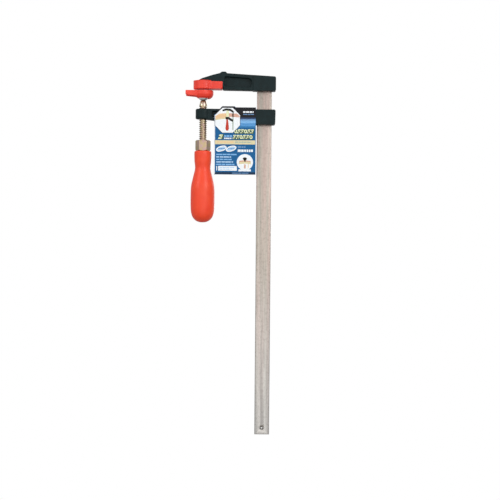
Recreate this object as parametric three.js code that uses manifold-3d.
// F-clamp for woodwork: a flat steel rail, a fixed arm, a sliding arm with a screw, a swivelling
// pad on the screw, soft jaw caps, a plastic handle and the retail card folded over the sliding arm.
// Lengths are millimetres. The origin is the centre of the fixed jaw's clamping face. +Z runs up
// along the rail, +X from the screw towards the rail, and Y crosses the clamp.

import * as THREE from 'three';
import { mergeVertices } from 'three/addons/utils/BufferGeometryUtils.js';
import Module from 'manifold-3d';

// ---------------------------------------------------------------- driving dimensions

const THROAT = 80; // screw axis to the near edge of the rail
const GAP = 0.3; // between pieces that touch
const JAW_GAP = 2.1; // between the two clamping faces with the clamp shut

const RAIL_WIDTH = 22;
const RAIL_THICKNESS = 7;
const RAIL_BEVEL = 1.2;
const RAIL_TOP = 14; // end of the rail inside the fixed arm
const RAIL_END = -513;
const SLOT_CLEARANCE = 0.4; // between the rail and the sliding arm, each side
const STOP_PIN_Z = -503;
const STOP_PIN_RADIUS = 2.5;
const STOP_PIN_LENGTH = 15;

const ARM_DEPTH = 17; // across Y, over the flanges
const ARM_WEB = 6; // across Y, between the side pockets
const BLOCK_DEPTH = 19; // across Y, where the rail passes
const BLOCK_WALL = 6; // beside the rail, along X
const BLOCK_BOTTOM = -2.2; // underside of the fixed arm's block
const SLIDING_BLOCK_TOP = -29.8;
const SLIDING_BLOCK_BOTTOM = -52.3;

const BOSS_RADIUS = 11.4;
const BOSS_TOP = -29.3;
const BOSS_BOTTOM = -44.4;

const CAP_WALL = 2.6; // side walls of both jaw caps
const CAP_FLOOR = 3; // under the clamping faces
const CAP_HALF_WIDTH = 11.7; // half of a cap's straight sleeve, across Y

// A cap's nose is straight up to the height wallHeight, then closes in to rimRadius at its top.
const JAW_CAP = {
  radius: 14.9,
  wallHeight: 11.8,
  rimRadius: 14.3,
  noseHeight: 12.6,
  reach: 28.7,
  sleeveHeight: 11.4,
  endHeight: 10.9,
  cavityRadius: 11.7,
};
const PAD_CAP = {
  radius: 15.2,
  wallHeight: 5.6,
  rimRadius: 11,
  noseHeight: 11.5,
  reach: 26.2,
  sleeveHeight: 8.6,
  endHeight: 6.6,
  cavityRadius: 9.6,
};

const THREAD_PITCH = 3;
const THREAD_RADIUS = 6; // crest
const THREAD_DEPTH = 1.4;
const THREAD_CLEARANCE = 0.4; // radial, screw to boss
const THREAD_SIDES = 16;
const THREAD_ROWS = 4; // rows of points in one pitch
const THREAD_TOP = -24.75;
const THREAD_END = -75.75;
const ENTRY_RADIUS = 6.5; // plain mouth of the tapped hole, which the foot of the cone enters
const ENTRY_DEPTH = 3.3;

const BALL_Z = -10.9; // centre of the swivel
const BALL_RADIUS = 4.4;
const NECK_RADIUS = 3;
const NECK_END = -16.6;
const TIP_RADIUS = 4.2; // top of the screw's cone, just under the neck
const TIP_Z = -17;
const TANG_RADIUS = 4.5;
const TANG_END = -176;

const SHOE_TOP = -JAW_GAP - CAP_FLOOR - GAP;
const SHOE_FLANGE = 2.5;
const SHOE_END = -15.7;
const SNAP_RING_Z = -13.9;
const SNAP_RING_RADIUS = 4.45;
const SNAP_RING_WIRE = 0.45;

const COLLAR_TOP = -75.9;
const COLLAR_BOTTOM = -91.6;
const COLLAR_CORNER = 11.4; // radius over the corners
const COLLAR_TURN = 30; // degrees from a corner in front to a flat in front

const HANDLE_TOP = COLLAR_BOTTOM - GAP;
const HANDLE_END = -198;

const CARD_LEFT = 17;
const CARD_RIGHT = 78.5;
const CARD_BOTTOM = -127;
const CARD_FOLD = -27.3; // top of the fold over the arm
const CARD_TAB = -25.8; // top of the front panel's tab
const CARD_BOARD = 0.6; // thickness of the board
const CARD_HALF_GAP = 10; // from the arm's middle to the inside of a panel
const CARD_JOIN = -84; // where the back panel meets the front one

// ---------------------------------------------------------------- materials

function finish(color, roughness, metalness) {
  return new THREE.MeshStandardMaterial({ color, roughness, metalness });
}

const CAST_BLACK = finish('#20292b', 0.5, 0.1);
const ZINC = finish('#d9d6d0', 0.35, 1);
const BRIGHT_STEEL = finish('#b9aea2', 0.42, 1);
const YELLOW_ZINC = finish('#b3a489', 0.38, 1);
const RED_PLASTIC = finish('#ee4328', 0.38, 0);
const HANDLE_RED = finish('#f0401f', 0.3, 0);
const SPRING_STEEL = finish('#6f6d6a', 0.4, 1);
const CARD_STOCK = finish('#1f6fae', 0.55, 0);

// ---------------------------------------------------------------- solids

const wasm = await Module();
wasm.setup();

// Six times the signed volume of a triangle mesh; negative if its faces point inwards.
function signedVolume(positions, triangles) {
  const [a, b, c] = [new THREE.Vector3(), new THREE.Vector3(), new THREE.Vector3()];
  let sum = 0;
  for (let i = 0; i < triangles.length; i += 3) {
    a.fromArray(positions, 3 * triangles[i]);
    b.fromArray(positions, 3 * triangles[i + 1]);
    c.fromArray(positions, 3 * triangles[i + 2]);
    sum += a.dot(b.cross(c));
  }
  return sum;
}

// A closed geometry as a solid that can be joined and cut.
function solid(geometry) {
  const bare = geometry.clone();
  bare.deleteAttribute('normal');
  bare.deleteAttribute('uv');
  const merged = mergeVertices(bare, 1e-4);
  const vertProperties = new Float32Array(merged.attributes.position.array);
  const triVerts = new Uint32Array(merged.index.array);
  if (signedVolume(vertProperties, triVerts) < 0) triVerts.reverse();
  return new wasm.Manifold(new wasm.Mesh({ numProp: 3, vertProperties, triVerts }));
}

// A finished solid as a named mesh.
function piece(name, body, material) {
  const { vertProperties, triVerts } = body.getMesh();
  const indexed = new THREE.BufferGeometry();
  indexed.setAttribute('position', new THREE.BufferAttribute(vertProperties, 3));
  indexed.setIndex(new THREE.BufferAttribute(triVerts, 1));
  const geometry = indexed.toNonIndexed();
  geometry.computeVertexNormals();
  const mesh = new THREE.Mesh(geometry, material);
  mesh.name = name;
  return mesh;
}

// A closed outline through corners given as [u, v, radius]; a corner with a radius is rounded.
function outline(corners) {
  const shape = new THREE.Shape();
  const points = corners.map(([u, v]) => new THREE.Vector2(u, v));
  corners.forEach(([, , radius = 0], i) => {
    const here = points[i];
    const back = points.at(i - 1).clone().sub(here).normalize();
    const ahead = points[(i + 1) % points.length].clone().sub(here).normalize();
    const reach = radius / Math.tan(back.angleTo(ahead) / 2);
    const start = here.clone().addScaledVector(back, reach);
    const end = here.clone().addScaledVector(ahead, reach);
    if (i === 0) shape.moveTo(start.x, start.y);
    else shape.lineTo(start.x, start.y);
    if (radius > 0) shape.quadraticCurveTo(here.x, here.y, end.x, end.y);
  });
  shape.closePath();
  return shape;
}

// An XZ outline made solid across Y, from the near side to the far side.
function slab(shape, near, far, curveSegments = 4) {
  const options = { depth: far - near, bevelEnabled: false, curveSegments };
  const geometry = new THREE.ExtrudeGeometry(shape, options);
  geometry.rotateX(Math.PI / 2);
  geometry.translate(0, far, 0);
  return solid(geometry);
}

// An XZ outline made solid across Y, centred on the clamp's middle plane.
function centredSlab(shape, depth) {
  return slab(shape, -depth / 2, depth / 2);
}

// An XY outline made solid from one height to another.
function post(shape, bottom, top, curveSegments = 20) {
  const options = { depth: top - bottom, bevelEnabled: false, curveSegments };
  const geometry = new THREE.ExtrudeGeometry(shape, options);
  geometry.translate(0, 0, bottom);
  return solid(geometry);
}

// A YZ outline made solid along X.
function bar(shape, left, right) {
  const geometry = new THREE.ExtrudeGeometry(shape, { depth: right - left, bevelEnabled: false });
  geometry.rotateX(Math.PI / 2);
  geometry.rotateZ(Math.PI / 2);
  geometry.translate(left, 0, 0);
  return solid(geometry);
}

function box(low, high) {
  const size = high.map((value, i) => value - low[i]);
  const geometry = new THREE.BoxGeometry(...size);
  geometry.translate(...low.map((value, i) => value + size[i] / 2));
  return solid(geometry);
}

// A profile of [radius, height] pairs turned about the screw's axis.
function turned(profile, sides = 24) {
  const geometry = new THREE.LatheGeometry(profile.map(([r, z]) => new THREE.Vector2(r, z)), sides);
  geometry.rotateX(Math.PI / 2);
  return solid(geometry);
}

// A round bar across Y, centred on the clamp's middle plane.
function crossPin(radius, length, x, z, sides = 20) {
  const geometry = new THREE.CylinderGeometry(radius, radius, length, sides);
  geometry.translate(x, 0, z);
  return solid(geometry);
}

// A rod on the screw's axis with a right-hand thread: each point's radius follows the distance
// to the helix, so two rods made with different radii mesh with an even clearance.
function threadedRod(crest, bottom, top) {
  const rows = Math.round(((top - bottom) * THREAD_ROWS) / THREAD_PITCH);
  const geometry = new THREE.CylinderGeometry(crest, crest, top - bottom, THREAD_SIDES, rows);
  geometry.rotateX(Math.PI / 2);
  geometry.translate(0, 0, (top + bottom) / 2);
  const point = new THREE.Vector3();
  const { position } = geometry.attributes;
  for (let i = 0; i < position.count; i += 1) {
    point.fromBufferAttribute(position, i);
    const reach = Math.hypot(point.x, point.y);
    if (reach < crest / 2) continue;
    const turns = point.z / THREAD_PITCH - Math.atan2(point.y, point.x) / (2 * Math.PI);
    const wave = 0.5 - 0.5 * Math.cos(2 * Math.PI * turns);
    const scale = (crest - THREAD_DEPTH * wave) / reach;
    position.setXY(i, point.x * scale, point.y * scale);
  }
  return solid(geometry);
}

// ---------------------------------------------------------------- rail and stop pin

function rail() {
  const left = THROAT;
  const right = THROAT + RAIL_WIDTH;
  const half = RAIL_THICKNESS / 2;
  const section = outline([
    [left, -half + RAIL_BEVEL],
    [left + RAIL_BEVEL, -half],
    [right - RAIL_BEVEL, -half],
    [right, -half + RAIL_BEVEL],
    [right, half - RAIL_BEVEL],
    [right - RAIL_BEVEL, half],
    [left + RAIL_BEVEL, half],
    [left, half - RAIL_BEVEL],
  ]);
  const side = outline([
    [left, RAIL_END + 1.5],
    [left + 1.5, RAIL_END],
    [right - 1.5, RAIL_END],
    [right, RAIL_END + 1.5],
    [right, RAIL_TOP],
    [left, RAIL_TOP],
  ]);
  const pinHole = crossPin(STOP_PIN_RADIUS + GAP, 2 * RAIL_THICKNESS, THROAT + RAIL_WIDTH / 2, STOP_PIN_Z);
  return post(section, RAIL_END, RAIL_TOP)
    .intersect(centredSlab(side, 2 * RAIL_THICKNESS))
    .subtract(pinHole);
}

function railStopPin() {
  return crossPin(STOP_PIN_RADIUS, STOP_PIN_LENGTH, THROAT + RAIL_WIDTH / 2, STOP_PIN_Z);
}

// ---------------------------------------------------------------- arms

// Cuts a pocket of the given XZ outline into both sides of an arm, down to its web.
function pocketed(arm, shape) {
  const near = slab(shape, -ARM_DEPTH, -ARM_WEB / 2);
  const far = slab(shape, ARM_WEB / 2, ARM_DEPTH);
  return arm.subtract(near).subtract(far);
}

function fixedArm() {
  const blockLeft = THROAT - BLOCK_WALL;
  const blockRight = THROAT + RAIL_WIDTH + BLOCK_WALL;
  const footBottom = CAP_FLOOR + GAP;
  const heel = JAW_CAP.reach + GAP;
  const beam = outline([
    [-7, footBottom],
    [heel, footBottom],
    [heel, -0.9, 1.2],
    [blockLeft - 2, -1.5, 2],
    [blockLeft + 1, BLOCK_BOTTOM, 1.5],
    [blockRight, BLOCK_BOTTOM, 2.5],
    [blockRight, 19.3, 2.5],
    [77.5, 21.1, 12],
    [35.2, 23.7, 1],
    [33.2, 26.1, 2],
    [27.2, 26, 2],
    [24.6, 23.9, 1],
    [14, 21.2, 8],
    [-1.5, 16.2, 3],
    [-7, 13.4, 1.5],
  ]);
  const block = outline([
    [blockLeft, BLOCK_BOTTOM, 2],
    [blockRight, BLOCK_BOTTOM, 2.5],
    [blockRight, 19.2, 2.5],
    [blockLeft, 21.2, 2],
  ]);
  const pocket = outline([
    [31.5, 3.2, 2.5],
    [72, 2.6, 6.5],
    [72, 16, 6.5],
    [31.5, 18.8, 2.5],
  ]);
  const footPlan = keyhole(JAW_CAP.cavityRadius - GAP, CAP_HALF_WIDTH - CAP_WALL - GAP, heel);
  const foot = post(footPlan, footBottom, 10.2);
  const railPocket = box(
    [THROAT - GAP, -RAIL_THICKNESS / 2 - GAP, BLOCK_BOTTOM - 1],
    [THROAT + RAIL_WIDTH + GAP, RAIL_THICKNESS / 2 + GAP, RAIL_TOP + GAP],
  );
  const arm = centredSlab(beam, ARM_DEPTH).add(centredSlab(block, BLOCK_DEPTH)).add(foot);
  return pocketed(arm, pocket).subtract(railPocket);
}

function slidingArm() {
  const blockLeft = THROAT - BLOCK_WALL;
  const blockRight = THROAT + RAIL_WIDTH + BLOCK_WALL - 0.2;
  const beam = outline([
    [0, BOSS_TOP],
    [BOSS_RADIUS, BOSS_TOP],
    [blockLeft, SLIDING_BLOCK_TOP],
    [blockLeft + 4, SLIDING_BLOCK_BOTTOM],
    [blockLeft, SLIDING_BLOCK_BOTTOM, 4],
    [0, BOSS_BOTTOM],
  ]);
  const block = outline([
    [blockLeft, SLIDING_BLOCK_BOTTOM, 1.5],
    [blockRight - 0.5, SLIDING_BLOCK_BOTTOM, 2.5],
    [blockRight, SLIDING_BLOCK_TOP, 2.5],
    [blockLeft, SLIDING_BLOCK_TOP, 1.5],
  ]);
  const pocket = outline([
    [13, -33, 2],
    [71, -34, 5],
    [71, -47.6, 5],
    [13, -41.4, 2],
  ]);
  const boss = turned([
    [0, BOSS_BOTTOM],
    [BOSS_RADIUS - 1, BOSS_BOTTOM],
    [BOSS_RADIUS, BOSS_BOTTOM + 1],
    [BOSS_RADIUS, BOSS_TOP - 1],
    [BOSS_RADIUS - 1, BOSS_TOP],
    [0, BOSS_TOP],
  ], 36);
  const railSlot = box(
    [THROAT - SLOT_CLEARANCE, -RAIL_THICKNESS / 2 - SLOT_CLEARANCE, SLIDING_BLOCK_BOTTOM - 5],
    [THROAT + RAIL_WIDTH + SLOT_CLEARANCE, RAIL_THICKNESS / 2 + SLOT_CLEARANCE, SLIDING_BLOCK_TOP + 5],
  );
  const tappedHole = threadedRod(
    THREAD_RADIUS + THREAD_CLEARANCE,
    THREAD_TOP - 8 * THREAD_PITCH,
    THREAD_TOP,
  );
  const entry = turned([
    [0, BOSS_TOP - ENTRY_DEPTH],
    [ENTRY_RADIUS, BOSS_TOP - ENTRY_DEPTH],
    [ENTRY_RADIUS, BOSS_TOP + 1],
    [0, BOSS_TOP + 1],
  ], 24);
  const arm = centredSlab(beam, ARM_DEPTH).add(centredSlab(block, BLOCK_DEPTH)).add(boss);
  return pocketed(arm, pocket).subtract(railSlot).subtract(tappedHole).subtract(entry);
}

// ---------------------------------------------------------------- jaw caps and swivel

// Plan of a jaw cap's cavity: a round nose about the screw's axis with a straight sleeve that
// runs from it towards +X.
function keyhole(radius, halfWidth, reach) {
  const corner = Math.asin(halfWidth / radius);
  const shape = new THREE.Shape();
  shape.moveTo(reach, -halfWidth);
  shape.lineTo(reach, halfWidth);
  shape.lineTo(radius * Math.cos(corner), halfWidth);
  shape.absarc(0, 0, radius, corner, 2 * Math.PI - corner, false);
  shape.closePath();
  return shape;
}

// A soft cap with its clamping face at z = 0 and its open side up.
function softCap(cap) {
  const nose = turned([
    [0, 0],
    [cap.radius - 0.8, 0],
    [cap.radius, 0.8],
    [cap.radius, cap.wallHeight],
    [(cap.radius + cap.rimRadius) / 2 + 0.6, (cap.wallHeight + cap.noseHeight) / 2 + 0.6],
    [cap.rimRadius, cap.noseHeight],
    [0, cap.noseHeight],
  ], 40);
  const sleeve = slab(outline([
    [0, 0],
    [cap.reach, 0, 0.8],
    [cap.reach, cap.endHeight, 1],
    [cap.cavityRadius * 0.7, cap.sleeveHeight],
    [0, cap.sleeveHeight],
  ]), -CAP_HALF_WIDTH, CAP_HALF_WIDTH);
  const cavity = keyhole(cap.cavityRadius, CAP_HALF_WIDTH - CAP_WALL, cap.reach + 1);
  return nose.add(sleeve).subtract(post(cavity, CAP_FLOOR, cap.noseHeight + 1));
}

// The swivel's steel shoe: a flange inside the cap and a cone that holds the screw's ball.
function swivelShoe() {
  const flange = CAP_HALF_WIDTH - CAP_WALL - GAP;
  const socket = BALL_RADIUS + GAP;
  const quarter = [90, 70, 50, 30, 10].map((degrees) => {
    const angle = THREE.MathUtils.degToRad(degrees);
    return [socket * Math.cos(angle), BALL_Z + socket * Math.sin(angle)];
  });
  quarter[0][0] = 0;
  return turned([
    [0, SHOE_TOP],
    [flange, SHOE_TOP],
    [flange, SHOE_TOP - SHOE_FLANGE],
    [7.9, SHOE_TOP - SHOE_FLANGE],
    [7.5, BALL_Z],
    [5.7, SHOE_END + 0.4],
    [5.3, SHOE_END],
    [4.6, SHOE_END],
    [4.6, SNAP_RING_Z - 1.1],
    [5.3, SNAP_RING_Z - 1.1],
    [5.3, SNAP_RING_Z + 1.1],
    [socket, SNAP_RING_Z + 1.1],
    ...quarter.reverse(),
  ], 28);
}

// The round wire ring that keeps the ball in the shoe. It moves with the screw but doesn't turn.
function padSnapRing() {
  const ring = [0, 60, 120, 180, 240, 300, 360].map((degrees) => {
    const angle = THREE.MathUtils.degToRad(degrees);
    return [
      SNAP_RING_RADIUS + SNAP_RING_WIRE * Math.cos(angle),
      SNAP_RING_Z + SNAP_RING_WIRE * Math.sin(angle),
    ];
  });
  return turned(ring, 20);
}

// ---------------------------------------------------------------- screw and handle

// Ball, neck, plain cone, thread, and the tang that the collar and the handle sit on.
function spindle() {
  const ball = [-50, -25, 0, 25, 50, 90].map((degrees) => {
    const angle = THREE.MathUtils.degToRad(degrees);
    return [BALL_RADIUS * Math.cos(angle), BALL_Z + BALL_RADIUS * Math.sin(angle)];
  });
  ball[ball.length - 1][0] = 0;
  const core = THREAD_RADIUS - THREAD_DEPTH - 0.2;
  const blank = turned([
    [0, TANG_END],
    [TANG_RADIUS - 1, TANG_END],
    [TANG_RADIUS, TANG_END + 1],
    [TANG_RADIUS, THREAD_END - 0.1],
    [core, THREAD_END],
    [core, THREAD_TOP],
    [THREAD_RADIUS, THREAD_TOP],
    [TIP_RADIUS, TIP_Z],
    [NECK_RADIUS, NECK_END],
    [NECK_RADIUS, ball[0][1]],
    ...ball,
  ], 24);
  return blank.add(threadedRod(THREAD_RADIUS, THREAD_END, THREAD_TOP));
}

// The six-sided collar between the screw and the handle, with its corners turned off.
function hexCollar() {
  const height = COLLAR_TOP - COLLAR_BOTTOM;
  const hexagon = new THREE.CylinderGeometry(COLLAR_CORNER, COLLAR_CORNER, height, 6);
  hexagon.rotateX(Math.PI / 2);
  hexagon.rotateZ(THREE.MathUtils.degToRad(COLLAR_TURN));
  hexagon.translate(0, 0, (COLLAR_TOP + COLLAR_BOTTOM) / 2);
  const rim = COLLAR_CORNER * 0.86;
  const round = COLLAR_CORNER + 0.01;
  const chamfers = turned([
    [0, COLLAR_BOTTOM - 0.1],
    [rim, COLLAR_BOTTOM - 0.1],
    [round, COLLAR_BOTTOM + 1.2],
    [round, COLLAR_TOP - 1.2],
    [rim, COLLAR_TOP + 0.1],
    [0, COLLAR_TOP + 0.1],
  ], 30);
  const bore = turned([
    [0, COLLAR_BOTTOM - 1],
    [TANG_RADIUS + GAP, COLLAR_BOTTOM - 1],
    [TANG_RADIUS + GAP, COLLAR_TOP + 1],
    [0, COLLAR_TOP + 1],
  ], 24);
  return solid(hexagon).intersect(chamfers).subtract(bore);
}

// The grip: a straight top, a waist, and a swelling that ends in a dome.
function handle() {
  const grip = new THREE.SplineCurve([
    new THREE.Vector2(12.7, HANDLE_TOP - 1),
    new THREE.Vector2(12.5, HANDLE_TOP - 14),
    new THREE.Vector2(11.4, HANDLE_TOP - 24.5),
    new THREE.Vector2(13.9, HANDLE_TOP - 37.5),
    new THREE.Vector2(17.4, HANDLE_TOP - 53),
    new THREE.Vector2(17.8, HANDLE_TOP - 66),
    new THREE.Vector2(17.7, HANDLE_END + 19),
    new THREE.Vector2(15.8, HANDLE_END + 9.5),
    new THREE.Vector2(10.1, HANDLE_END + 3),
    new THREE.Vector2(0, HANDLE_END),
  ]).getPoints(26).map(({ x, y }) => [x, y]);
  grip[grip.length - 1][0] = 0;
  const bore = TANG_RADIUS + GAP;
  return turned([
    [0, TANG_END - 1],
    [bore, TANG_END - 1],
    [bore, HANDLE_TOP],
    [11.9, HANDLE_TOP],
    ...grip,
  ], 24);
}

// ---------------------------------------------------------------- retail card

// A printed board folded over the sliding arm. The front panel hangs straight, and the back one
// comes forward below the arm to be joined to it. The front panel's upper left corner is cut off,
// and its tab stands a little above the fold.
function hangCard() {
  const near = -CARD_HALF_GAP - CARD_BOARD;
  const inside = -CARD_HALF_GAP;
  const far = CARD_HALF_GAP + CARD_BOARD;
  const shoulder = SLIDING_BLOCK_BOTTOM - 2.5;
  const joined = inside + CARD_BOARD;
  const section = outline([
    [far, CARD_FOLD, 1.5],
    [near, CARD_FOLD, 1.5],
    [near, CARD_BOTTOM],
    [joined, CARD_BOTTOM],
    [joined, CARD_JOIN],
    [far, shoulder],
  ]);
  const hollow = outline([
    [CARD_HALF_GAP, CARD_FOLD - CARD_BOARD, 1],
    [CARD_HALF_GAP, shoulder],
    [inside, CARD_JOIN + 1],
    [inside, CARD_FOLD - CARD_BOARD, 1],
  ]);
  const tab = box([CARD_LEFT, near, CARD_FOLD - 3], [CARD_RIGHT, inside, CARD_TAB]);
  const front = outline([
    [CARD_LEFT, CARD_BOTTOM],
    [CARD_RIGHT, CARD_BOTTOM],
    [CARD_RIGHT, CARD_FOLD],
    [48.5, CARD_FOLD],
    [47, CARD_TAB],
    [28.5, CARD_TAB],
    [CARD_LEFT, CARD_TAB - 12.5],
  ]);
  return bar(section, CARD_LEFT, CARD_RIGHT)
    .subtract(bar(hollow, CARD_LEFT - 1, CARD_RIGHT + 1))
    .add(tab)
    .intersect(centredSlab(front, 4 * far));
}

// ---------------------------------------------------------------- assembly

const frameGroup = new THREE.Group();
frameGroup.add(
  piece('rail', rail(), BRIGHT_STEEL),
  piece('fixed_arm', fixedArm(), CAST_BLACK),
  piece('rail_stop_pin', railStopPin(), SPRING_STEEL),
  piece('jaw_cap', softCap(JAW_CAP), RED_PLASTIC),
);

const armGroup = new THREE.Group();
armGroup.add(
  piece('sliding_arm', slidingArm(), CAST_BLACK),
  piece('hang_card', hangCard(), CARD_STOCK),
);

const screwGroup = new THREE.Group();
screwGroup.add(
  piece('spindle', spindle(), YELLOW_ZINC),
  piece('hex_collar', hexCollar(), YELLOW_ZINC),
  piece('handle', handle(), HANDLE_RED),
);

// The pad cap is a cap of the fixed jaw's kind turned over: its face looks up at the fixed jaw
// and its sleeve points away from the rail.
const padCap = piece('pad_cap', softCap(PAD_CAP), RED_PLASTIC);
padCap.rotation.y = Math.PI;
padCap.position.z = -JAW_GAP;

const padGroup = new THREE.Group();
padGroup.add(
  padCap,
  piece('swivel_shoe', swivelShoe(), ZINC),
  piece('pad_snap_ring', padSnapRing(), SPRING_STEEL),
);

const group = new THREE.Group();
group.add(frameGroup, armGroup, screwGroup, padGroup);

export default group;
